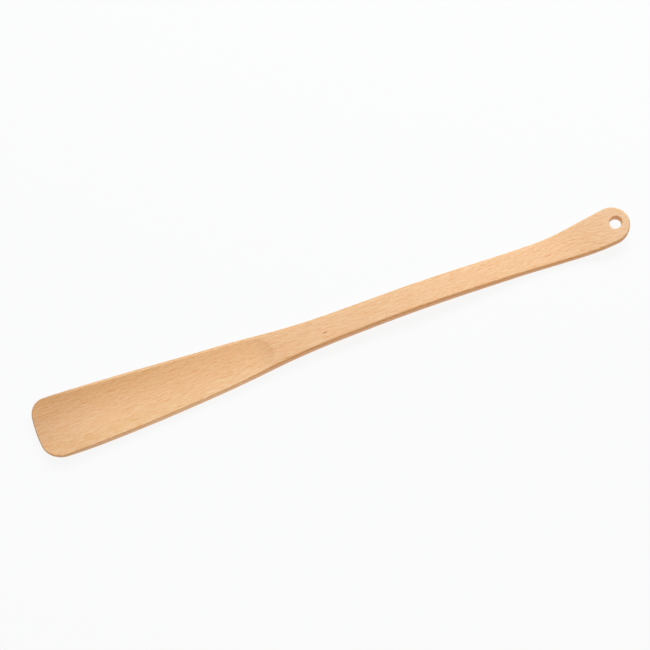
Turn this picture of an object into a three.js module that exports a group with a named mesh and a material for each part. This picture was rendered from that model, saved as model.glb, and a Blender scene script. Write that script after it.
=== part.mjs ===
// Long-handled shoehorn, one piece of solid beech: a wide scooped blade, a slim
// rectangular shaft, and a grip that dips back and ends in a flared, rounded
// paddle with a drilled hanging hole.
//
// Working frame while shaping: X runs from the blade's tip (0) to the end of the
// grip (LENGTH), Y across, Z out of the front, which is the scooped side.
// The finished piece is then laid on its back: +Z up, scoop up, tip towards -X,
// with the origin under the middle of its bounding box, at table height.
// All lengths are millimetres.

import * as THREE from 'three';
import { mergeVertices } from 'three/addons/utils/BufferGeometryUtils.js';

const { smoothstep, lerp, degToRad } = THREE.MathUtils;

// ---------------------------------------------------------------- dimensions
// Tables and objects keyed 1 and -1 hold the values for the +Y and -Y sides.
const LENGTH = 380;            // tip to end of grip
const TIP_ARC_R = 75;          // shallow curve of the blade's tip, in plan
const TIP_CORNER_R = { 1: 9.8, '-1': 12 }; // rounded corners of the blade, in plan
const END_R = 11.8;            // rounded end of the grip, in plan
const END_CENTRE_X = LENGTH - END_R;
const HOLE_R = 3.8;            // hanging hole
const HOLE_RIM_R = 0.7;        // rounding of the hole's two rims
const HOLE_FROM_END = 8.5;     // hole centre to the end of the grip
const HOLE_X = LENGTH - HOLE_FROM_END;
const PADDLE_SLOPE = 0.165;    // rise of the flat paddle towards its end
const GRIP_SWAY = 0.7;         // the rounded end sits this far to +Y of the middle line
const SWAY_FROM = 356;         // where that drift starts

// [x, half width] along the sides of the plan outline
const HALF_WIDTH = [
  [12, 19.19], [24, 18.99], [40, 18.39], [60, 17.42], [80, 16.18], [100, 14.79],
  [120, 13.35], [135, 11.95], [148, 10.6], [162, 9.52], [180, 8.76], [205, 8.36],
  [240, 8.21], [280, 8.18], [305, 8.3], [322, 8.67], [336, 9.45], [350, 10.79],
  [360, 11.49], [367.7, 11.79],
];
// [x, z] of the front: the blade's rims, the shaft's face and the grip's face
const FRONT = [
  [0, 5.17], [12, 4.49], [30, 3.38], [50, 2.1], [70, 0.96], [90, 0.04], [110, -0.5],
  [135, -0.5], [170, -0.6], [205, -0.61], [228, -0.89], [250, -2.14], [270, -4.14],
  [290, -6.59], [310, -8.97], [324, -10.53], [334, -10.88], [344, -10.22],
  [354, -8.78],
];
// [x, z] of the back, along its middle
const BACK = [
  [0, 0.33], [12, -0.79], [27, -2.29], [45, -3.67], [62, -4.65], [90, -6.09],
  [120, -6.51], [137, -6.51], [152, -6.6], [170, -6.62], [205, -6.64], [228, -6.88],
  [250, -8.01], [270, -9.81], [290, -11.96], [310, -13.98], [324, -15.41],
  [334, -15.69], [344, -14.99], [354, -13.54],
];
// [x, rise of the back from its middle to its edges]
const BACK_CROWN = [
  [0, 2.9], [10, 1.5], [20, 0.75], [35, 0.3], [60, 0.15], [100, 0.1], [135, 0.04],
  [150, 0], [170, 0],
];
const BACK_FLAT_FROM = 150;    // the back is flat across from here on
// [x, depth of the scoop below the rims]
const SCOOP_DEPTH = [
  [0, 3.3], [27, 3.3], [62, 2.6], [90, 1.75], [120, 1.15], [137, 0.85], [150, 0.8],
];
// [x, land left beside the scoop]
const RIM_LAND = [[0, 0.3], [12, 0.5], [30, 0.9], [50, 0.98], [150, 1.0]];
// [x, y] of the scoop's middle: it is cut slightly to one side, wider land at +Y
const SCOOP_Y = [[12, 0], [40, -0.65]];
const SCOOP_END_FROM = 135.5;  // where the scoop starts to close
const SCOOP_END_LENGTH = 10.5; // from there to its last point
const SCOOP_SOFT = 0.02;       // softness of the scoop's edge, as a share of its depth
// [x, radius] of the rounded long edges; the blade's and shaft's front edges
// are sanded more at +Y than at -Y
const FRONT_EDGE_R = {
  1: [
    [0, 0.75], [12, 0.7], [35, 1.25], [110, 1.3], [150, 1.7], [170, 2.1], [320, 2.0],
    [350, 1.4], [380, 1.2],
  ],
  '-1': [
    [0, 0.75], [14, 0.6], [110, 0.6], [150, 1.2], [170, 1.35], [320, 1.35],
    [350, 1.15], [380, 1.2],
  ],
};
const BACK_EDGE_R = [
  [0, 0.85], [20, 1.25], [140, 1.3], [170, 1.5], [320, 1.5], [350, 1.3], [380, 1.3],
];
const MAX_EDGE_SHARE = 0.9;    // most of the thickness the two edge radii may take

// resting pose
const REST_TILT_DEG = 2.294;   // levels the grip's back with the blade's back
const REST_SHIFT_X = -189.982;
const REST_LIFT_Z = 2.49;

// mesh fineness
const SIDE_FROM = 14;          // x of the first station past the tip's corners
const STATION_STEP = 6;
const STATION_STEP_FINE = 2.5;
const FINE_SCOOP_END = [130, 151]; // x range of fine stations around the scoop's end
const FINE_PADDLE_FROM = 340;  // and from here to the end
const MIN_LAST_STEP = 0.05;    // least gap between the side stations and the end arc
const TIP_STEPS = 5;
const CORNER_STEPS = 6;
const END_STEPS = 14;
const FRONT_ROWS = 6;
const BACK_ROWS = 3;
const ROUND_ROWS = 2;
const ROW_POWER = 1.4;         // crowds the front rows towards the middle
const MERGE_TOLERANCE = 1e-3;
const SAME_POINT = 1e-4;       // triangle corners closer than this are one point
// columns fan forward near the tip and lean towards the hole near the paddle
const TIP_LEAD = 10;
const TIP_LEAD_UNTIL = 30;
const HOLE_COLUMNS_FROM = 357; // columns end on the hole from the station nearest this x
const HOLE_LEAN_LENGTH = 34;   // the lean builds up over this length before it

// ------------------------------------------------------------------- curves
// Cubic through the points with continuous curvature, straight beyond its ends.
// It starts without curvature, and ends so too unless slopeEnd is given.
function cubic(points, slopeEnd = null) {
  const last = points.length - 1;
  const xs = points.map((point) => point[0]);
  const ys = points.map((point) => point[1]);
  const gap = xs.slice(1).map((x, i) => x - xs[i]);
  const slope = gap.map((width, i) => (ys[i + 1] - ys[i]) / width);

  // tridiagonal equations for the second derivative at each point
  const below = new Float64Array(last + 1);
  const diagonal = new Float64Array(last + 1).fill(1);
  const above = new Float64Array(last + 1);
  const bend = new Float64Array(last + 1);
  for (let i = 1; i < last; i++) {
    below[i] = gap[i - 1];
    diagonal[i] = 2 * (gap[i - 1] + gap[i]);
    above[i] = gap[i];
    bend[i] = 6 * (slope[i] - slope[i - 1]);
  }
  if (slopeEnd !== null) {
    diagonal[last] = 2 * gap[last - 1];
    below[last] = gap[last - 1];
    bend[last] = 6 * (slopeEnd - slope[last - 1]);
  }
  for (let i = 1; i <= last; i++) {
    const factor = below[i] / diagonal[i - 1];
    diagonal[i] -= factor * above[i - 1];
    bend[i] -= factor * bend[i - 1];
  }
  bend[last] /= diagonal[last];
  for (let i = last - 1; i >= 0; i--) {
    bend[i] = (bend[i] - above[i] * bend[i + 1]) / diagonal[i];
  }

  const firstSlope = slope[0] - (gap[0] * (2 * bend[0] + bend[1])) / 6;
  const lastSlope = slope[last - 1] + (gap[last - 1] * (2 * bend[last] + bend[last - 1])) / 6;
  return (x) => {
    if (x < xs[0]) return ys[0] + firstSlope * (x - xs[0]);
    if (x > xs[last]) return ys[last] + lastSlope * (x - xs[last]);
    let i = 0;
    while (i < last - 1 && x > xs[i + 1]) i++;
    const s = (xs[i + 1] - x) / gap[i];
    const t = (x - xs[i]) / gap[i];
    const curve = (s ** 3 - s) * bend[i] + (t ** 3 - t) * bend[i + 1];
    return s * ys[i] + t * ys[i + 1] + (curve * gap[i] ** 2) / 6;
  };
}

// Level at each point, eased between them.
function eased(points) {
  const last = points.length - 1;
  return (x) => {
    if (x <= points[0][0]) return points[0][1];
    if (x >= points[last][0]) return points[last][1];
    let i = 0;
    while (x > points[i + 1][0]) i++;
    const t = smoothstep(x, points[i][0], points[i + 1][0]);
    return lerp(points[i][1], points[i + 1][1], t);
  };
}

const halfWidth = cubic(HALF_WIDTH);
const front = cubic(FRONT, PADDLE_SLOPE);
const back = cubic(BACK, PADDLE_SLOPE);
const backCrown = cubic(BACK_CROWN);
const scoopDepth = cubic(SCOOP_DEPTH);
const rimLand = eased(RIM_LAND);
const scoopY = eased(SCOOP_Y);
const frontEdgeR = { 1: eased(FRONT_EDGE_R[1]), '-1': eased(FRONT_EDGE_R[-1]) };
const backEdgeR = eased(BACK_EDGE_R);

// ----------------------------------------------------------------- surfaces
// Depth of the scoop: a parabola across, closing to a round end.
function scoop(x, y) {
  const across = (y - scoopY(x)) / (halfWidth(x) - rimLand(x));
  const closing = Math.max(0, x - SCOOP_END_FROM) / SCOOP_END_LENGTH;
  const share = 1 - across ** 2 - closing * closing;
  if (share <= -SCOOP_SOFT) return 0;
  const softened = share >= SCOOP_SOFT ? share : (share + SCOOP_SOFT) ** 2 / (4 * SCOOP_SOFT);
  return scoopDepth(x) * softened;
}

const frontZ = (x, y) => front(x) - scoop(x, y);

function backZ(x, y) {
  if (x >= BACK_FLAT_FROM) return back(x);
  return back(x) + Math.max(0, backCrown(x)) * (y / halfWidth(x)) ** 2;
}

// ------------------------------------------------------------- plan outline
// Centre of a tip corner's arc, tangent to the tip's curve and to the side, and
// the side's lean there. The two depend on each other, so they are iterated.
function tipCorner(radius) {
  let y = halfWidth(10.6) - radius; // first guess
  let x;
  let lean;
  for (let pass = 0; pass < 5; pass++) {
    x = TIP_ARC_R - Math.sqrt((TIP_ARC_R - radius) ** 2 - y ** 2);
    lean = Math.atan(halfWidth(x + 0.5) - halfWidth(x - 0.5));
    y = halfWidth(x - radius * Math.sin(lean)) - radius * Math.cos(lean);
  }
  return { x, y, lean };
}

// One half of the outline, from the middle of the tip to the middle of the end,
// at y >= 0. Each station holds its point and the unit normal into the wood.
function outline(cornerR) {
  const stations = [];
  const push = (x, y, inwardX, inwardY) => stations.push({
    point: new THREE.Vector2(x, y),
    inward: new THREE.Vector2(inwardX, inwardY).normalize(),
  });
  // point on an arc bulging towards the tip, at an angle from -X
  const pushTipArc = (centreX, centreY, radius, angle) => {
    const cos = Math.cos(angle);
    const sin = Math.sin(angle);
    push(centreX - radius * cos, centreY + radius * sin, cos, -sin);
  };

  const corner = tipCorner(cornerR);
  const meet = Math.atan2(corner.y, TIP_ARC_R - corner.x);
  const cornerSweep = Math.PI / 2 - corner.lean - meet;
  for (let k = 0; k < TIP_STEPS; k++) {
    pushTipArc(TIP_ARC_R, 0, TIP_ARC_R, (meet * k) / TIP_STEPS);
  }
  for (let k = 0; k < CORNER_STEPS; k++) {
    pushTipArc(corner.x, corner.y, cornerR, meet + (cornerSweep * k) / CORNER_STEPS);
  }

  // lean of the sides just before the end arc, over 1 mm
  const flare = Math.atan(halfWidth(END_CENTRE_X - 0.3) - halfWidth(END_CENTRE_X - 1.3));
  const sideTo = END_CENTRE_X - END_R * Math.sin(flare);
  for (let x = SIDE_FROM; x < sideTo - MIN_LAST_STEP; ) {
    const slope = (halfWidth(x + 0.05) - halfWidth(x - 0.05)) / 0.1;
    push(x, halfWidth(x), slope, -1);
    const fine = (x >= FINE_SCOOP_END[0] && x <= FINE_SCOOP_END[1]) || x >= FINE_PADDLE_FROM;
    x += fine ? STATION_STEP_FINE : STATION_STEP;
  }
  for (let k = 0; k <= END_STEPS; k++) {
    const angle = (Math.PI / 2 + flare) * (1 - k / END_STEPS);
    const cos = Math.cos(angle);
    const sin = Math.sin(angle);
    push(END_CENTRE_X + END_R * cos, END_R * sin, -cos, -sin);
  }
  return stations;
}

// ------------------------------------------------------------------ columns
// Every station's column of points runs from the middle of the front out to the
// edge, round it, down the side and back to the middle of the back. At the
// paddle the columns start and end on the hanging hole's rim instead of the
// middle line, and short columns line the hole.
const outlines = { 1: outline(TIP_CORNER_R[1]), '-1': outline(TIP_CORNER_R[-1]) };

// Both halves take their inner ends from the +Y stations, so that they meet.
const innerGuides = outlines[1].map((station) => station.point);
const fromHoleStart = ({ x }) => Math.abs(x - HOLE_COLUMNS_FROM);
const holeStart = innerGuides.reduce(
  (best, point, i) => (fromHoleStart(point) < fromHoleStart(innerGuides[best]) ? i : best),
  0,
);
const holeStartX = innerGuides[holeStart].x;
const bearingFromHole = ({ x, y }) => Math.atan2(y, x - HOLE_X);

// Point at a distance from the hole's centre, along a unit direction.
const aroundHole = (direction, radius) => (
  new THREE.Vector2(HOLE_X, 0).addScaledVector(direction, radius)
);

// Direction from the hole's centre to a column's inner end. Bearings are
// stretched so that the first column's points straight at the tip.
function holeDirection(i, side) {
  const stretched = Math.PI * bearingFromHole(innerGuides[i]);
  const angle = stretched / bearingFromHole(innerGuides[holeStart]);
  return new THREE.Vector2(Math.cos(angle), side * Math.sin(angle));
}

// Where the column meets the middle line or the hole.
function innerEnd(i, side) {
  if (i >= holeStart) return aroundHole(holeDirection(i, side), HOLE_R + HOLE_RIM_R);
  const { x } = innerGuides[i];
  const lead = TIP_LEAD * (1 - smoothstep(x, 0, TIP_LEAD_UNTIL));
  const leanShare = smoothstep(x, holeStartX - HOLE_LEAN_LENGTH, holeStartX);
  const lean = (HOLE_X - HOLE_R - HOLE_RIM_R - holeStartX) * leanShare;
  return new THREE.Vector2(x + lead + lean, 0);
}

const onFront = ({ x, y }) => [x, y, frontZ(x, y)];
const onBack = ({ x, y }) => [x, y, backZ(x, y)];

// Points down a wall from front to back, with a quarter round at each edge.
function roundedWall(wall, inward, frontR, backR) {
  const points = [];
  const rounding = (surface, radius, zSign, angle) => {
    const offset = radius * (1 - Math.sin(angle));
    const [x, y, z] = surface(wall.clone().addScaledVector(inward, offset));
    points.push([x, y, z + zSign * radius * (1 - Math.cos(angle))]);
  };
  for (let j = 0; j <= ROUND_ROWS; j++) {
    rounding(onFront, frontR, -1, (0.5 * Math.PI * j) / ROUND_ROWS);
  }
  for (let j = 0; j <= ROUND_ROWS; j++) {
    rounding(onBack, backR, 1, 0.5 * Math.PI * (1 - j / ROUND_ROWS));
  }
  return points;
}

function skinColumn(i, side) {
  const mirror = ({ x, y }) => new THREE.Vector2(x, side * y);
  const edge = mirror(outlines[side][i].point);
  const inward = mirror(outlines[side][i].inward);
  const inner = innerEnd(i, side);

  let frontR = frontEdgeR[side](edge.x);
  let backR = backEdgeR(edge.x);
  const thickness = frontZ(edge.x, edge.y) - backZ(edge.x, edge.y);
  const squeeze = Math.min(1, (MAX_EDGE_SHARE * thickness) / (frontR + backR));
  frontR *= squeeze;
  backR *= squeeze;

  const frontEdge = edge.clone().addScaledVector(inward, frontR);
  const backEdge = edge.clone().addScaledVector(inward, backR);
  const column = [];
  for (let j = FRONT_ROWS; j > 0; j--) {
    column.push(onFront(frontEdge.clone().lerp(inner, (j / FRONT_ROWS) ** ROW_POWER)));
  }
  column.push(...roundedWall(edge, inward, frontR, backR));
  for (let j = 1; j <= BACK_ROWS; j++) {
    column.push(onBack(backEdge.clone().lerp(inner, j / BACK_ROWS)));
  }
  return column;
}

function liningColumn(i, side) {
  const direction = holeDirection(i, side);
  return roundedWall(aroundHole(direction, HOLE_R), direction, HOLE_RIM_R, HOLE_RIM_R);
}

// ---------------------------------------------------------------- the solid
const sway = ([x, y, z]) => [x, y + GRIP_SWAY * smoothstep(x, SWAY_FROM, LENGTH), z];

const samePoint = (p, q) => (
  Math.abs(p[0] - q[0]) + Math.abs(p[1] - q[1]) + Math.abs(p[2] - q[2]) < SAME_POINT
);

// Two triangles, leaving out any that has collapsed.
function addQuad(positions, a, b, c, d) {
  for (const [p, q, r] of [[a, b, c], [a, c, d]]) {
    if (samePoint(p, q) || samePoint(q, r) || samePoint(r, p)) continue;
    positions.push(...p, ...q, ...r);
  }
}

// Joins neighbouring columns with quads; flip turns their faces over.
function addSheet(positions, columns, flip) {
  const swayed = columns.map((column) => column.map(sway));
  for (let i = 0; i + 1 < swayed.length; i++) {
    const here = swayed[i];
    const next = swayed[i + 1];
    for (let j = 0; j + 1 < here.length; j++) {
      if (flip) addQuad(positions, here[j], here[j + 1], next[j + 1], next[j]);
      else addQuad(positions, here[j], next[j], next[j + 1], here[j + 1]);
    }
  }
}

function shoehornGeometry() {
  const positions = [];
  const indices = innerGuides.map((_, i) => i);
  for (const side of [1, -1]) {
    const skin = indices.map((i) => skinColumn(i, side));
    const lining = indices.slice(holeStart).map((i) => liningColumn(i, side));
    addSheet(positions, skin, side < 0);
    addSheet(positions, lining, side > 0);
  }
  const geometry = new THREE.BufferGeometry();
  geometry.setAttribute('position', new THREE.Float32BufferAttribute(positions, 3));
  const merged = mergeVertices(geometry, MERGE_TOLERANCE);
  merged.computeVertexNormals();
  return merged;
}

// -------------------------------------------------------------------- part
const beech = new THREE.MeshStandardMaterial({ color: 0xe8bd90, roughness: 0.55, metalness: 0 });

const body = new THREE.Mesh(shoehornGeometry(), beech);
body.name = 'shoehorn_body';
body.rotation.y = -degToRad(REST_TILT_DEG);
body.position.set(REST_SHIFT_X, 0, REST_LIFT_Z);

const shoehorn = new THREE.Group();
shoehorn.name = 'long_shoehorn';
shoehorn.add(body);

export default shoehorn;
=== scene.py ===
# Long beech shoehorn with a scooped blade, a slim shaft and a paddle grip with a hole.
# It is shaped in mm in a working frame: X from the tip (0) to the end of the grip, Y across,
# Z out of the scooped front. to_row() then lays it down along X on the floor, in metres.
import math
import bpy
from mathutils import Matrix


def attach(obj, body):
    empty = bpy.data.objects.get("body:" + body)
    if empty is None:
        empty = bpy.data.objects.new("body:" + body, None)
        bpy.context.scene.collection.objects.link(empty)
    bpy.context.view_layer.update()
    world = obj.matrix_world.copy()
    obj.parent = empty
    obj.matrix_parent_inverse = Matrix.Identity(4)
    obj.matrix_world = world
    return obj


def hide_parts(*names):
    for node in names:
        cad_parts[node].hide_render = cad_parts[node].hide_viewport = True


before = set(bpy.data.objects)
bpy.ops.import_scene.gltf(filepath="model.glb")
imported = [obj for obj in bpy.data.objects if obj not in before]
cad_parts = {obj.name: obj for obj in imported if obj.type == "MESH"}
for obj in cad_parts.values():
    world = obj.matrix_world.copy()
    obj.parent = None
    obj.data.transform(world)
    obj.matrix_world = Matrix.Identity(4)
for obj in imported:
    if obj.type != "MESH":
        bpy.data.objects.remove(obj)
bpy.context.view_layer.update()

from types import SimpleNamespace

import bpy
import numpy as np
from mathutils import Matrix, Vector

# ------------------------------------------------------------ dimensions, in mm
LENGTH = 380.0
TIP_ARC_R = 75.0                        # the tip's shallow arc in plan
TIP_CORNER_R = {1: 9.8, -1: 12.0}       # by side: 1 is +Y, -1 is -Y
END_R = 11.8
HOLE_R = 3.8
HOLE_RIM_R = 0.7                        # rounding of the hole's rim
HOLE_X = LENGTH - 8.5
HOLE_OUTER_R = HOLE_R + HOLE_RIM_R
GRIP_SWAY = 0.7                         # the grip's end drifts this far to +Y
SWAY_FROM = 356.0
PADDLE_SLOPE = 0.165                    # dz/dx of both faces at the end of the grip

# Stations along the shoehorn: (x, value)
HALF_WIDTH = [
    (12, 19.19), (24, 18.99), (40, 18.39), (60, 17.42), (80, 16.18), (100, 14.79), (120, 13.35),
    (135, 11.95), (148, 10.6), (162, 9.52), (180, 8.76), (205, 8.36), (240, 8.21), (280, 8.18),
    (305, 8.3), (322, 8.67), (336, 9.45), (350, 10.79), (360, 11.49), (367.7, 11.79),
]
FRONT = [                               # z of the front face before the scoop
    (0, 5.17), (12, 4.49), (30, 3.38), (50, 2.1), (70, 0.96), (90, 0.04), (110, -0.5),
    (135, -0.5), (170, -0.6), (205, -0.61), (228, -0.89), (250, -2.14), (270, -4.14),
    (290, -6.59), (310, -8.97), (324, -10.53), (334, -10.88), (344, -10.22), (354, -8.78),
]
BACK = [                                # z of the back face along its middle
    (0, 0.33), (12, -0.79), (27, -2.29), (45, -3.67), (62, -4.65), (90, -6.09), (120, -6.51),
    (137, -6.51), (152, -6.6), (170, -6.62), (205, -6.64), (228, -6.88), (250, -8.01),
    (270, -9.81), (290, -11.96), (310, -13.98), (324, -15.41), (334, -15.69), (344, -14.99),
    (354, -13.54),
]
BACK_CROWN = [                          # rise of the back from its middle to its edges
    (0, 2.9), (10, 1.5), (20, 0.75), (35, 0.3), (60, 0.15), (100, 0.1), (135, 0.04), (150, 0),
    (170, 0),
]
CROWN_TO = 150
SCOOP_DEPTH = [
    (0, 3.3), (27, 3.3), (62, 2.6), (90, 1.75), (120, 1.15), (137, 0.85), (150, 0.8),
]
RIM_LAND = [(0, 0.3), (12, 0.5), (30, 0.9), (50, 0.98), (150, 1.0)]  # flat beside the scoop
SCOOP_Y = [(12, 0), (40, -0.65)]        # the scoop's middle
SCOOP_END_FROM = 135.5
SCOOP_END_LENGTH = 10.5
SCOOP_SOFT = 0.02                       # softening of the scoop's edge, in units of scoop_q
FRONT_EDGE_R = {                        # rounding of the front edges, by side
    1: [
        (0, 0.75), (12, 0.7), (35, 1.25), (110, 1.3), (150, 1.7), (170, 2.1), (320, 2.0),
        (350, 1.4), (380, 1.2),
    ],
    -1: [
        (0, 0.75), (14, 0.6), (110, 0.6), (150, 1.2), (170, 1.35), (320, 1.35), (350, 1.15),
        (380, 1.2),
    ],
}
BACK_EDGE_R = [(0, 0.85), (20, 1.25), (140, 1.3), (170, 1.5), (320, 1.5), (350, 1.3), (380, 1.3)]

# How it lies on the floor
REST_TILT = math.radians(2.294)
REST_SHIFT_X = -189.982
REST_LIFT_Z = 2.49

# Mesh divisions
TIP_STEPS, CORNER_STEPS, END_STEPS = 16, 18, 34
FRONT_STEPS, BACK_STEPS = 26, 14        # from the column's start to the edge
ROUND_STEPS, SIDE_STEPS, LINING_STEPS = 5, 3, 5
FRONT_TURN = [0.5 * math.pi * j / ROUND_STEPS for j in range(ROUND_STEPS + 1)]
BACK_TURN = [0.5 * math.pi * (1 - j / ROUND_STEPS) for j in range(ROUND_STEPS + 1)]


# ---------------------------------------------------------------------- curves
def cubic(stations, slope_end=None):
    """Cubic through the stations with continuous curvature, straight beyond its ends."""
    X, Y = np.array(stations, float).T
    n = len(X)
    h = np.diff(X)
    A = np.zeros((n, n))
    B = np.zeros(n)
    for i in range(1, n - 1):
        A[i, i - 1], A[i, i], A[i, i + 1] = h[i - 1], 2 * (h[i - 1] + h[i]), h[i]
        B[i] = 6 * ((Y[i + 1] - Y[i]) / h[i] - (Y[i] - Y[i - 1]) / h[i - 1])
    A[0, 0] = A[-1, -1] = 1
    if slope_end is not None:
        A[-1, -1], A[-1, -2] = 2 * h[-1], h[-1]
        B[-1] = 6 * (slope_end - (Y[-1] - Y[-2]) / h[-1])
    M = np.linalg.solve(A, B)           # second derivatives at the stations
    first = (Y[1] - Y[0]) / h[0] - h[0] * (2 * M[0] + M[1]) / 6
    last = (Y[-1] - Y[-2]) / h[-1] + h[-1] * (2 * M[-1] + M[-2]) / 6

    def curve(x):
        x = np.asarray(x, float)
        i = np.clip(np.searchsorted(X, x) - 1, 0, n - 2)
        s, t = (X[i + 1] - x) / h[i], (x - X[i]) / h[i]
        bend = ((s**3 - s) * M[i] + (t**3 - t) * M[i + 1]) * h[i] ** 2 / 6
        value = s * Y[i] + t * Y[i + 1] + bend
        value = np.where(x < X[0], Y[0] + first * (x - X[0]), value)
        return np.where(x > X[-1], Y[-1] + last * (x - X[-1]), value)

    return curve


def smooth(t):
    t = np.clip(t, 0, 1)
    return t * t * (3 - 2 * t)


def eased(stations):
    """Smoothstep from station to station, level beyond its ends."""
    X, Y = np.array(stations, float).T

    def curve(x):
        x = np.clip(np.asarray(x, float), X[0], X[-1])
        i = np.clip(np.searchsorted(X, x) - 1, 0, len(X) - 2)
        return Y[i] + (Y[i + 1] - Y[i]) * smooth((x - X[i]) / (X[i + 1] - X[i]))

    return curve


half_width = cubic(HALF_WIDTH)
front = cubic(FRONT, PADDLE_SLOPE)
back = cubic(BACK, PADDLE_SLOPE)
back_crown = cubic(BACK_CROWN)
scoop_depth = cubic(SCOOP_DEPTH)
rim_land = eased(RIM_LAND)
scoop_y = eased(SCOOP_Y)
front_edge_r = {side: eased(stations) for side, stations in FRONT_EDGE_R.items()}
back_edge_r = eased(BACK_EDGE_R)


def scoop_q(x, y):
    """Above 0 inside the scoop's outline, 1 along its middle."""
    reach = half_width(x) - rim_land(x)
    past = np.maximum(0, x - SCOOP_END_FROM) / SCOOP_END_LENGTH
    return 1 - ((y - scoop_y(x)) / reach) ** 2 - past**2


def front_z(at):
    x, y = at[:, 0], at[:, 1]
    q = scoop_q(x, y)
    edge = (q + SCOOP_SOFT) ** 2 / (4 * SCOOP_SOFT)
    share = np.where(q >= SCOOP_SOFT, q, np.where(q <= -SCOOP_SOFT, 0, edge))
    scooped = x < SCOOP_END_FROM + SCOOP_END_LENGTH + 2
    return front(x) - np.where(scooped, scoop_depth(x) * share, 0)


def back_z(at):
    x, y = at[:, 0], at[:, 1]
    crown = np.where(x < CROWN_TO, np.maximum(back_crown(x), 0), 0)
    return back(x) + crown * (y / half_width(x)) ** 2


# ------------------------------------------------------------------- the solid
def stations():
    """x of the columns along the sides, closer at the tip, the scoop's end and the grip."""
    xs = [13.2]
    while xs[-1] < 367.4:
        x = xs[-1]
        xs.append(x + (0.45 if 129 <= x <= 148 else 0.7 if x > 345 or x < 30 else 1.0))
    return xs


def outline(corner_r):
    """Half the plan outline, tip to end, as points and unit normals into the wood."""
    # settle the corner's centre so that it meets both the tip arc and the side
    yc = float(half_width(10.6)) - corner_r
    for _ in range(5):
        xc = TIP_ARC_R - math.sqrt((TIP_ARC_R - corner_r) ** 2 - yc**2)
        lean = math.atan(float(half_width(xc + 0.5) - half_width(xc - 0.5)))
        side_from = xc - corner_r * math.sin(lean)
        yc = float(half_width(side_from)) - corner_r * math.cos(lean)
    meet = math.atan2(yc, TIP_ARC_R - xc)
    points, inwards = [], []
    for k in range(TIP_STEPS):
        a = meet * k / TIP_STEPS
        points.append((TIP_ARC_R - TIP_ARC_R * math.cos(a), TIP_ARC_R * math.sin(a)))
        inwards.append((math.cos(a), -math.sin(a)))
    for k in range(CORNER_STEPS):
        a = meet + (math.pi / 2 - lean - meet) * k / CORNER_STEPS
        points.append((xc - corner_r * math.cos(a), yc + corner_r * math.sin(a)))
        inwards.append((math.cos(a), -math.sin(a)))
    end_x = LENGTH - END_R
    flare = math.atan(float(half_width(end_x - 0.3) - half_width(end_x - 1.3)))
    side_to = end_x - END_R * math.sin(flare)
    for x in stations():
        if side_from < x < side_to - 0.05:
            slope = float(half_width(x + 0.05) - half_width(x - 0.05)) / 0.1
            points.append((x, float(half_width(x))))
            inwards.append((slope / math.hypot(1, slope), -1 / math.hypot(1, slope)))
    for k in range(END_STEPS + 1):
        a = (math.pi / 2 + flare) * (1 - k / END_STEPS)
        points.append((end_x + END_R * math.cos(a), END_R * math.sin(a)))
        inwards.append((-math.cos(a), -math.sin(a)))
    return np.array(points), np.array(inwards)


def inner_line(edge):
    """Where each column starts: along the middle, then round the hole's rim.

    Also gives the unit directions out of the hole's middle for the columns on the rim."""
    x, y = edge[:, 0], edge[:, 1]
    first = int(np.argmin(abs(x - 357) + (x > 366) * 99))       # first column on the rim
    inner = np.zeros_like(edge)
    shift = smooth((x - (x[first] - 34)) / 34)
    inner[:, 0] = x + 10 * (1 - smooth(x / 30)) + (HOLE_X - HOLE_OUTER_R - x[first]) * shift
    reach = math.atan2(y[first], x[first] - HOLE_X)
    angle = math.pi * np.arctan2(y, x - HOLE_X) / reach
    spokes = np.stack([np.cos(angle), np.sin(angle)], 1)
    spokes[first], spokes[-1] = (-1, 0), (1, 0)
    inner[first:] = np.array([HOLE_X, 0]) + HOLE_OUTER_R * spokes[first:]
    return inner, spokes[first:]


def grid(rows):
    """Rows of (xy, z, wear) as one array of points and one of wear weights."""
    points = np.array([np.column_stack([xy, z]) for xy, z, _ in rows])
    return points, np.array([np.broadcast_to(wear, len(xy)) for xy, _, wear in rows])


def skin(edge, inwards, inner, side):
    """Front, rounded edges, side wall and back of one half."""
    x = edge[:, 0]
    front_r, back_r = front_edge_r[side](x), back_edge_r(x)
    thick = front_z(edge) - back_z(edge)
    fit = np.minimum(1, 0.9 * thick / (front_r + back_r))
    front_r, back_r = front_r * fit, back_r * fit
    rows = []

    def face(face_z, radius, steps, order, spacing, wear_reach):
        start = edge + inwards * radius[:, None]
        for j in order:
            at = start + (inner - start) * (j / steps) ** spacing
            inset = np.linalg.norm(at - edge, axis=1)
            rows.append((at, face_z(at), np.exp(-((inset / wear_reach) ** 2))))

    def rounding(face_z, radius, turn, outwards):
        for a in turn:
            at = edge + inwards * (radius * (1 - math.sin(a)))[:, None]
            z = face_z(at) - outwards * (radius * (1 - math.cos(a)))
            rows.append((at, z, math.sin(2 * a) * 0.35 + 0.65))

    face(front_z, front_r, FRONT_STEPS, range(FRONT_STEPS, 0, -1), spacing=1.5, wear_reach=1.1)
    rounding(front_z, front_r, FRONT_TURN, outwards=1)
    top, bottom = front_z(edge) - front_r, back_z(edge) + back_r
    for j in range(1, SIDE_STEPS):
        rows.append((edge, top + (bottom - top) * j / SIDE_STEPS, 0.15))
    rounding(back_z, back_r, BACK_TURN, outwards=-1)
    face(back_z, back_r, BACK_STEPS, range(1, BACK_STEPS + 1), spacing=1.3, wear_reach=1.3)
    return grid(rows)


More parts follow.
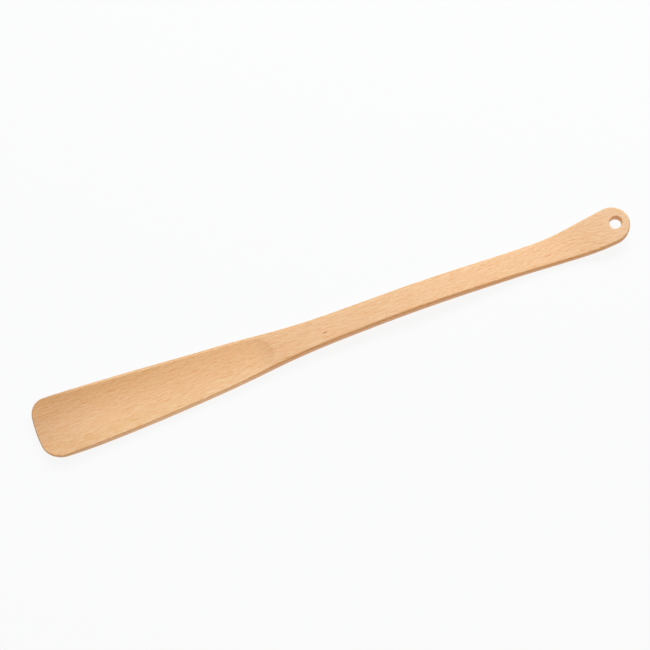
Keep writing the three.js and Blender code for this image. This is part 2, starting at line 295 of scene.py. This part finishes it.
def lining(spokes):
    """Rounded rims and wall of one half of the hole."""
    middle = np.array([HOLE_X, 0])
    rows = []

    def rim(face_z, turn, outwards):
        for a in turn:
            at = middle + (HOLE_R + HOLE_RIM_R * (1 - math.sin(a))) * spokes
            z = face_z(at) - outwards * (HOLE_RIM_R * (1 - math.cos(a)))
            rows.append((at, z, 0.7))

    rim(front_z, FRONT_TURN, outwards=1)
    wall = middle + HOLE_R * spokes
    top, bottom = rows[-1][1], back_z(wall) + HOLE_RIM_R
    for j in range(1, LINING_STEPS):
        rows.append((wall, top + (bottom - top) * j / LINING_STEPS, 0.0))
    rim(back_z, BACK_TURN, outwards=-1)
    return grid(rows)


def fine_mesh():
    """Closed mesh of the whole shoehorn: points, wear weights and faces.

    Every station's column of points runs from the middle of the front out to the edge,
    round it, down the side and back to the middle of the back. At the paddle the columns
    start on the hole's rim instead."""
    lines = {side: outline(corner_r) for side, corner_r in TIP_CORNER_R.items()}
    inner, spokes = inner_line(lines[1][0])
    points, wear, quads, base = [], [], [], 0
    for side in (1, -1):
        flip = np.array([1, side])
        edge, inwards = (line * flip for line in lines[side])
        parts = skin(edge, inwards, inner * flip, side), lining(spokes * flip)
        for (part, part_wear), outwards in zip(parts, (True, False)):
            n_rows, n_columns = part.shape[:2]
            ids = base + np.arange(n_rows * n_columns).reshape(n_rows, n_columns)
            a, b, c, d = ids[:-1, :-1], ids[:-1, 1:], ids[1:, 1:], ids[1:, :-1]
            turn = [a, b, c, d] if (side > 0) == outwards else [a, d, c, b]
            points.append(part.reshape(-1, 3))
            wear.append(part_wear.reshape(-1))
            quads.append(np.stack(turn, -1).reshape(-1, 4))
            base += n_rows * n_columns
    points, wear, quads = np.concatenate(points), np.concatenate(wear), np.concatenate(quads)

    # weld the seams and drop the quads that collapse
    _, first, inverse = np.unique(
        np.round(points, 4) + 0.0, axis=0, return_index=True, return_inverse=True)
    faces = []
    for quad in inverse.reshape(-1)[quads].tolist():
        face = [v for i, v in enumerate(quad) if v != quad[i - 1]]
        if len(set(face)) > 2:
            faces.append(face)
    points = points[first]
    points[:, 1] += GRIP_SWAY * smooth((points[:, 0] - SWAY_FROM) / (LENGTH - SWAY_FROM))
    return points, wear[first], faces


def to_row(p):
    """Working frame in mm to the row frame in metres."""
    c, s = math.cos(REST_TILT), math.sin(REST_TILT)
    p = np.asarray(p, float)
    x, y, z = p[..., 0], p[..., 1], p[..., 2]
    return np.stack([x * c - z * s + REST_SHIFT_X, y, x * s + z * c + REST_LIFT_Z], -1) / 1000


def add_object(name, data):
    obj = bpy.data.objects.new(name, data)
    bpy.context.scene.collection.objects.link(obj)
    return obj


def build_shoehorn():
    points, wear, faces = fine_mesh()
    mesh = bpy.data.meshes.new("shoehorn_beech")
    mesh.from_pydata(to_row(points).tolist(), [], faces)
    mesh.update()
    mesh.shade_smooth()
    x, y = points[:, 0], points[:, 1]
    attributes = {
        "wear": wear,
        "in_left": half_width(x) - y,       # mm in from the +Y outline
        "in_right": half_width(x) + y,      # mm in from the -Y outline
    }
    for name, values in attributes.items():
        attribute = mesh.attributes.new(name, "FLOAT", "POINT")
        attribute.data.foreach_set("value", values.astype(np.float32))
    return add_object("shoehorn_beech", mesh)


# ----------------------------------------------------------------- node helpers
class Signal:
    """A node's output; each arithmetic operation on it adds one Math node."""

    def __init__(self, nodes, socket):
        self.nodes, self.socket = nodes, socket

    def __add__(self, other):
        return self.nodes.math("ADD", self, other)

    def __radd__(self, other):
        return self.nodes.math("ADD", other, self)

    def __sub__(self, other):
        return self.nodes.math("SUBTRACT", self, other)

    def __mul__(self, other):
        return self.nodes.math("MULTIPLY", self, other)

    def __pow__(self, other):
        return self.nodes.math("POWER", self, other)


class Nodes:
    """Short forms for building the node tree of a material or world."""

    def __init__(self, owner):
        owner.use_nodes = True
        self.tree = owner.node_tree
        self.tree.nodes.clear()

    def put(self, socket, value):
        value = getattr(value, "socket", value)
        if isinstance(value, bpy.types.NodeSocket):
            self.tree.links.new(value, socket)
        else:
            socket.default_value = value

    def node(self, kind, inputs=None, **settings):
        node = self.tree.nodes.new("ShaderNode" + kind)
        for name, value in settings.items():
            setattr(node, name, value)
        for key, value in (inputs or {}).items():
            self.put(node.inputs[key], value)
        return node

    def signal(self, kind, inputs=None, output=0, **settings):
        return Signal(self, self.node(kind, inputs, **settings).outputs[output])

    def math(self, operation, *values):
        return self.signal("Math", dict(enumerate(values)), operation=operation)

    def vec(self, operation, a, b=None):
        inputs = {0: a}
        if b is not None:
            inputs["Scale" if operation == "SCALE" else 1] = b
        output = "Value" if operation in ("LENGTH", "DOT_PRODUCT") else "Vector"
        return self.signal("VectorMath", inputs, output, operation=operation)

    def join(self, x, y, z):
        return self.signal("CombineXYZ", {0: x, 1: y, 2: z})

    def split(self, vector):
        return [Signal(self, out) for out in self.node("SeparateXYZ", {0: vector}).outputs]

    def attribute(self, name):
        return self.signal(
            "Attribute", output="Fac", attribute_name=name, attribute_type="GEOMETRY")

    def noise(self, at, per_mm, detail=2.0, rough=0.5):
        """Noise whose frequency along each axis is per_mm."""
        inputs = {"Vector": self.vec("MULTIPLY", at, per_mm), "Scale": 1.0}
        inputs |= {"Detail": detail, "Roughness": rough, "Distortion": 0.0}
        return self.signal("TexNoise", inputs)

    def remap(self, value, start, end, low, high):
        """Smooth step from low to high as the value goes from start to end."""
        inputs = {0: value, 1: start, 2: end, 3: low, 4: high}
        return self.signal("MapRange", inputs, interpolation_type="SMOOTHSTEP", clamp=True)

    def rise(self, value, start, end):
        return self.remap(value, start, end, low=0.0, high=1.0)

    def fall(self, value, start, end):
        return self.remap(value, start, end, low=1.0, high=0.0)

    def tint(self, colour, mask, rgb):
        """Scale each channel by 1 + its share of rgb where the mask is 1."""
        return self.vec("MULTIPLY", colour, self.vec("ADD", (1, 1, 1), self.vec("SCALE", rgb, mask)))


def centred(noise, gain):
    return (noise - 0.5) * gain


# ---------------------------------------------------------------------- beech
# linear colour of the sound wood, and how far one unit of darkening moves each channel
WOOD = (0.785, 0.470, 0.226)
DARKENING = (0.15, 0.52, 1.0)
# how much each part of the figure darkens the wood, and the mean taken off again
STREAK_GAIN, LINE_GAIN, FINE_GAIN, BROAD_GAIN = 1.15, 0.44, 0.78, 0.05
RING_GAIN, RAY_GAIN, PORE_GAIN, DARK_MEAN = 0.10, 0.07, 0.10, 0.04
# the first of the next two gains is painted shade at the tip, where the light falls off; the second
# pales the grip
TIP_SHADE_GAIN, GRIP_GAIN = 0.10, -0.15
PITH_Y, PITH_Z = 52.0, -46.0            # centre of the growth rings, in mm
RING_SPACING = 4.3
DIAGONAL = 0.70711                      # 1 / sqrt(2): turns Y and Z by 45 degrees
KNOT_COLOR = (0.48, 0.12, 0.005, 1)
KNOT_AT = (178.4, -2.45, -0.6)          # working frame
KNOT_SIZE = (1.9, 0.62, 4.0)


def in_wood_frame(point):
    """Working frame to the material's: the material turns the tilt back but doesn't shift."""
    x, y, z = to_row(point) * 1000
    c, s = math.cos(REST_TILT), math.sin(REST_TILT)
    return float(x * c + z * s), float(y), float(-x * s + z * c)


def surface_masks(g):
    """Places and masks the beech is built from, in mm with x along the grain, 0 mid-length."""
    at = g.signal("Mapping", {
        "Vector": g.signal("TexCoord", output="Object"),
        "Scale": (1000, 1000, 1000),
        "Rotation": (0, REST_TILT, 0),
    }, vector_type="POINT")
    x, y, z = g.split(at)
    normal = g.signal("NewGeometry", output="Normal")
    grain_way = (math.cos(REST_TILT), 0.0, math.sin(REST_TILT))
    along = g.math("ABSOLUTE", g.vec("DOT_PRODUCT", normal, grain_way))
    blotch = g.noise(at, per_mm=(0.25, 0.6, 0.6), detail=3.0)
    return SimpleNamespace(
        at=at, x=x, y=y, z=z, normal=normal,
        end_grain=g.rise(along, start=0.35, end=1.0),
        facing=g.rise(g.split(normal)[1] * -1.0, start=0.45, end=0.95),     # towards -Y
        grip=g.rise(x, start=150.0, end=185.0),
        rub=g.attribute("wear") * g.remap(blotch, start=0.3, end=0.7, low=0.35, high=1.0))


def beech_figure(g, surface):
    """The wood's figure: its darkening and the parts that also shape finish and relief."""
    at, x, y, z = surface.at, surface.x, surface.y, surface.z

    # grain never runs quite straight: a slow drift and two quicker wavers, in mm
    drift = centred(g.noise(at, per_mm=(0.008, 0.03, 0.03), detail=1.0), gain=16.0)
    waver = centred(g.noise(at, per_mm=(0.062, 0.22, 0.22), rough=0.55), gain=2.2)
    quick = centred(g.noise(at, per_mm=(0.16, 0.30, 0.30), detail=1.0), gain=1.0)
    bend = drift * 0.35 + waver + quick
    run = g.join(x, y + bend, z + bend * 0.6)

    # growth rings round the pith, cut a little across the grain
    away = g.vec("LENGTH", g.join(0.0, y - PITH_Y, z + -PITH_Z))
    radial = away + x * 0.075 + (drift + waver * 0.5)
    phase = g.math("FRACT", radial * (1 / RING_SPACING))
    late = phase**4.0 * g.fall(phase, start=0.93, end=1.0)
    patchy = g.noise(at, per_mm=(0.03, 0.15, 0.15), detail=1.0)
    late = late * g.remap(patchy, start=0.35, end=0.7, low=0.1, high=1.0)

    # evenly spaced lines of denser wood along the grain, and finer and broader sets
    streak = g.signal("TexGabor", {
        "Vector": g.vec("MULTIPLY", run, (0.23, 0.68, 0.68)),
        "Scale": 1.0,
        "Frequency": 0.95,
        "Anisotropy": 1.0,
        "Orientation": (0.0, 0.8, 0.6),
    }, output="Value", gabor_type="3D") ** 1.8
    line = g.noise(run, per_mm=(0.42, 1.80, 1.80), detail=0.0)
    fine = g.noise(run, per_mm=(0.75, 3.3, 3.3), rough=0.55)
    broad = g.noise(run, per_mm=(0.05, 0.33, 0.33))

    # rays: one cell each, long along the grain, stretched more across one diagonal
    tangent = (y + z) * DIAGONAL
    across = (z - y) * DIAGONAL
    ray_space = g.join(x * 0.42, tangent * 3.0 + bend * 2.1, across * 0.45)
    cells = g.node("TexVoronoi", {"Vector": ray_space, "Scale": 1.0, "Randomness": 1.0},
                   voronoi_dimensions="3D", feature="F1").outputs
    size, strength, _ = g.split(cells["Color"])
    ray = g.fall(Signal(g, cells["Distance"]) - size * 0.15, start=0.06, end=0.30)
    ray = ray * g.rise(strength, start=0.2, end=0.8)

    # pores: hair-fine dark lines
    pore = g.rise(g.noise(run, per_mm=(0.9, 11.0, 11.0)), start=0.60, end=0.74)

    dark = (streak - 0.30) * STREAK_GAIN
    dark = dark + centred(line, LINE_GAIN) + centred(fine, FINE_GAIN)
    dark = dark + centred(broad, BROAD_GAIN) + late * RING_GAIN
    dark = dark + ray * RAY_GAIN + pore * PORE_GAIN - DARK_MEAN
    return SimpleNamespace(streak=streak, fine=fine, ray=ray, pore=pore, dark=dark)


def darken_places(g, surface, dark):
    """Where along and across the shoehorn the wood is darker or paler, partly as painted shade and
    painted light.
    """
    x, y = surface.x, surface.y
    dark = dark + surface.end_grain * 0.04

    # painted shade and painted light on the side facing -Y: deeper along the shaft, paler along the
    # blade
    dark = dark + surface.facing * g.remap(x, start=-80.0, end=-30.0, low=-0.10, high=0.11)
    # slightly deeper where the blade runs into the shaft
    dark = dark + g.rise(x, start=-75.0, end=-60.0) * g.fall(x, start=-35.0, end=-20.0) * 0.02

    # painted shade: deeper towards the tip, where the light falls off, a touch lighter along the
    # tip's -Y edge; paler at the grip
    tip = g.fall(x, start=-192.0, end=-152.0)
    tip = tip * g.remap(y, start=-18.0, end=-8.0, low=-0.2, high=1.0)
    dark = dark + tip * TIP_SHADE_GAIN + surface.grip * GRIP_GAIN

    # a richer patch in the middle of the blade
    middle = g.rise(x, start=-122.0, end=-100.0) * g.fall(x, start=-40.0, end=-28.0)
    middle = middle * (g.rise(y, start=-9.0, end=-4.0) * g.fall(y, start=3.0, end=8.0))
    dark = dark + middle * 0.055

    # edges rubbed paler
    return dark - surface.rub * 0.05


def tint_places(g, surface, colour):
    """Shifts of colour from place to place, many of them painted light and painted shade."""
    x, y, normal = surface.x, surface.y, surface.normal

    # painted light: the blade a little brighter than the shaft, palest along its -Y side, where the
    # scoop's wall faces the light
    blade = g.fall(x, start=-62.0, end=-44.0) * g.rise(x, start=-172.0, end=-145.0)
    low = blade * g.fall(y, start=-15.0, end=-3.0)
    colour = g.tint(colour, blade, rgb=(0.050, 0.030, -0.005))
    colour = g.tint(colour, low, rgb=(0.005, 0.045, 0.085))

    # painted light in a band inside the blade's -Y rim, where the scoop's wall tilts to the light; a
    # painted highlight on the flat beside the +Y rim and painted shade on the rounded edge past it
    in_left, in_right = g.attribute("in_left"), g.attribute("in_right")
    up = g.rise(g.split(normal)[2], start=0.6, end=0.85)
    reach = g.fall(x, start=-62.0, end=-40.0) * g.rise(x, start=-182.0, end=-165.0)
    lit_rim_strip = reach * up * g.fall(in_right, start=0.5, end=6.0)
    colour = g.tint(colour, lit_rim_strip, rgb=(0.015, 0.035, 0.07))
    land_highlight = g.rise(in_left, start=0.9, end=1.5) * g.fall(in_left, start=1.8, end=2.3)
    colour = g.tint(colour, reach * up * land_highlight, rgb=(0.06, 0.12, 0.19))
    rim_edge_shade = g.fall(in_left, start=0.5, end=1.1) * g.rise(g.split(normal)[2], start=0.0, end=0.3)
    colour = g.tint(colour, reach * rim_edge_shade, rgb=(-0.08, -0.13, -0.22))

    # painted shade: a greyer, darker patch in the middle of the tip, where the light falls off; the
    # grip a little greyer
    tip_middle_shade = g.fall(x, start=-190.0, end=-165.0) * g.rise(y, start=-12.0, end=-3.0)
    tip_middle_shade = tip_middle_shade * g.fall(y, start=7.0, end=13.0)
    colour = g.tint(colour, tip_middle_shade, rgb=(-0.06, -0.07, -0.09))
    colour = g.tint(colour, surface.grip, rgb=(-0.03, -0.025, 0.015))

    # painted shade: the side facing -Y darker towards the tip
    tip_side_shade = surface.facing * g.fall(x, start=-150.0, end=-118.0)
    colour = g.tint(colour, tip_side_shade, rgb=(-0.09, -0.09, -0.10))
    # painted light: faces turned to -X, the tip's end above all, made paler where the lamps leave
    # them dark
    tip_end_light = g.rise(g.split(normal)[0] * -1.0, start=0.4, end=0.9)
    colour = g.tint(colour, tip_end_light, rgb=(0.22, 0.16, 0.06))

    # patches that lean pinker or yellower
    hue = centred(g.noise(surface.at, per_mm=(0.05, 0.22, 0.22)), gain=1.0)
    return g.tint(colour, hue, rgb=(0.05, -0.05, 0.0))


def beech_material():
    material = bpy.data.materials.new("beech_satin")
    g = Nodes(material)
    surface = surface_masks(g)
    figure = beech_figure(g, surface)
    fine, ray, rub = figure.fine, figure.ray, surface.rub

    dark = darken_places(g, surface, figure.dark)
    colour = g.vec("MULTIPLY", g.vec("SUBTRACT", (1, 1, 1), g.vec("SCALE", DARKENING, dark)), WOOD)
    colour = tint_places(g, surface, colour)

    # one pin knot on the shaft's front
    offset = g.vec("SUBTRACT", surface.at, in_wood_frame(KNOT_AT))
    knot = g.vec("LENGTH", g.vec("MULTIPLY", offset, tuple(1 / size for size in KNOT_SIZE)))
    knot = g.fall(knot + fine * 0.5, start=0.55, end=1.35)
    mix = {0: knot * 0.8, 6: colour, 7: KNOT_COLOR}     # factor, A and B
    colour = g.signal("Mix", mix, output=2, data_type="RGBA", blend_type="MIX")

    # satin finish, smoother where rubbed
    rough = 0.465 + centred(fine, gain=0.10) - ray * 0.06 - rub * 0.06
    rough = rough + surface.end_grain * 0.12

    # relief, in mm: grain raised a little, pores sunk, fine sanding marks
    sand = g.noise(surface.at, per_mm=(1.4, 7.0, 7.0), rough=0.6)
    relief = figure.streak * 0.016 + fine * 0.010 + sand * 0.006
    relief = relief - figure.pore * 0.010 - ray * 0.006 - knot * 0.02
    bump = g.signal("Bump", {"Strength": 0.3, "Distance": 0.001, "Height": relief})

    satin = g.signal("BsdfPrincipled", {
        "Base Color": colour,
        "Roughness": rough,
        "Normal": bump,
        "Specular IOR Level": 0.42,
    })
    g.node("OutputMaterial", {"Surface": satin})
    return material


shoehorn = build_shoehorn()
shoehorn.data.materials.append(beech_material())
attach(shoehorn, "root")
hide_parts("shoehorn_body")

# ---------------------------------------------------------------------- studio
FLOOR_HALF = 6.0                        # metres


def floor_material():
    """Pale and faintly lit, which keeps shadows light; clear to the camera from below."""
    material = bpy.data.materials.new("floor_pale")
    g = Nodes(material)
    diffuse = g.signal("BsdfDiffuse", {"Color": (0.07, 0.07, 0.07, 1)})
    glow = g.signal("Emission", {"Color": (0.990, 0.996, 1.0, 1), "Strength": 0.905})
    lit = g.signal("AddShader", {0: diffuse, 1: glow})
    clear = g.signal("BsdfTransparent")
    below = g.signal("NewGeometry", output="Backfacing")
    under = below * g.signal("LightPath", output="Is Camera Ray")
    g.node("OutputMaterial", {"Surface": g.signal("MixShader", {0: under, 1: lit, 2: clear})})
    return material


def build_floor():
    mesh = bpy.data.meshes.new("floor")
    corners = [(x * FLOOR_HALF, y * FLOOR_HALF, 0) for x, y in ((-1, -1), (1, -1), (1, 1), (-1, 1))]
    mesh.from_pydata(corners, [], [(0, 1, 2, 3)])
    floor = add_object("floor", mesh)
    mesh.materials.append(floor_material())
    return floor


def build_world():
    world = bpy.data.worlds.new("studio")
    bpy.context.scene.world = world
    g = Nodes(world)
    room = g.signal("Background", {"Strength": 0.137})      # what lights the room
    seen = g.signal("Background", {"Strength": 0.96})       # what the camera sees past the floor
    camera_ray = g.signal("LightPath", output="Is Camera Ray")
    pick = g.signal("MixShader", {0: camera_ray, 1: room, 2: seen})
    g.node("OutputWorld", {"Surface": pick})


build_floor()
build_world()

# Camera, in the working frame's mm
LENS, SENSOR_WIDTH = 105.230769, 36.0
CAMERA_DISTANCE = 1125.54
CAMERA_YAW, CAMERA_ROLL, CAMERA_TURN = map(math.radians, (9.0, 22.0, 20.5))
MIDDLE = (190.0, 0, 0)
MIDDLE_IN_VIEW = (9.773, 1.844)         # taken off MIDDLE along the camera's right and up


def rotation(axis, angle):
    return np.array(Matrix.Rotation(angle, 3, axis))


def build_camera():
    to_camera = (rotation("Z", CAMERA_TURN) @ rotation("Y", CAMERA_YAW)
                 @ rotation("X", -CAMERA_ROLL))
    eye = np.array(MIDDLE) - to_camera.T @ np.array([*MIDDLE_IN_VIEW, -CAMERA_DISTANCE])
    data = bpy.data.cameras.new("camera")
    data.sensor_width = SENSOR_WIDTH
    data.lens = LENS
    data.clip_start, data.clip_end = 0.01, 50
    camera = add_object("camera", data)
    turn = Matrix((rotation("Y", -REST_TILT) @ to_camera.T).tolist()).to_4x4()
    camera.matrix_world = Matrix.Translation(Vector(to_row(eye).tolist())) @ turn
    bpy.context.scene.camera = camera


LIGHT_DISTANCE, LIGHT_SIZE = 1.3, 0.8   # metres


def area(name, azimuth, from_vertical, power, color=(1, 1, 1)):
    """Square light aimed at the origin; angles in degrees."""
    a, b = math.radians(azimuth), math.radians(from_vertical)
    way = Vector((math.sin(b) * math.cos(a), math.sin(b) * math.sin(a), math.cos(b)))
    data = bpy.data.lights.new(name, "AREA")
    data.shape, data.size, data.energy, data.color = "SQUARE", LIGHT_SIZE, power, color
    light = add_object(name, data)
    light.location = way * LIGHT_DISTANCE
    light.rotation_mode = "QUATERNION"
    light.rotation_quaternion = (-(way * LIGHT_DISTANCE)).to_track_quat("-Z", "Y")


build_camera()
area("overhead", azimuth=90, from_vertical=25, power=7.7)
area("key", azimuth=45, from_vertical=45, power=12.2)
area("warm_card", azimuth=-90, from_vertical=70, power=3.54, color=(1.0, 0.4, 0.02))

bpy.context.scene.view_settings.view_transform = "Standard"
bpy.context.scene.view_settings.look = "None"
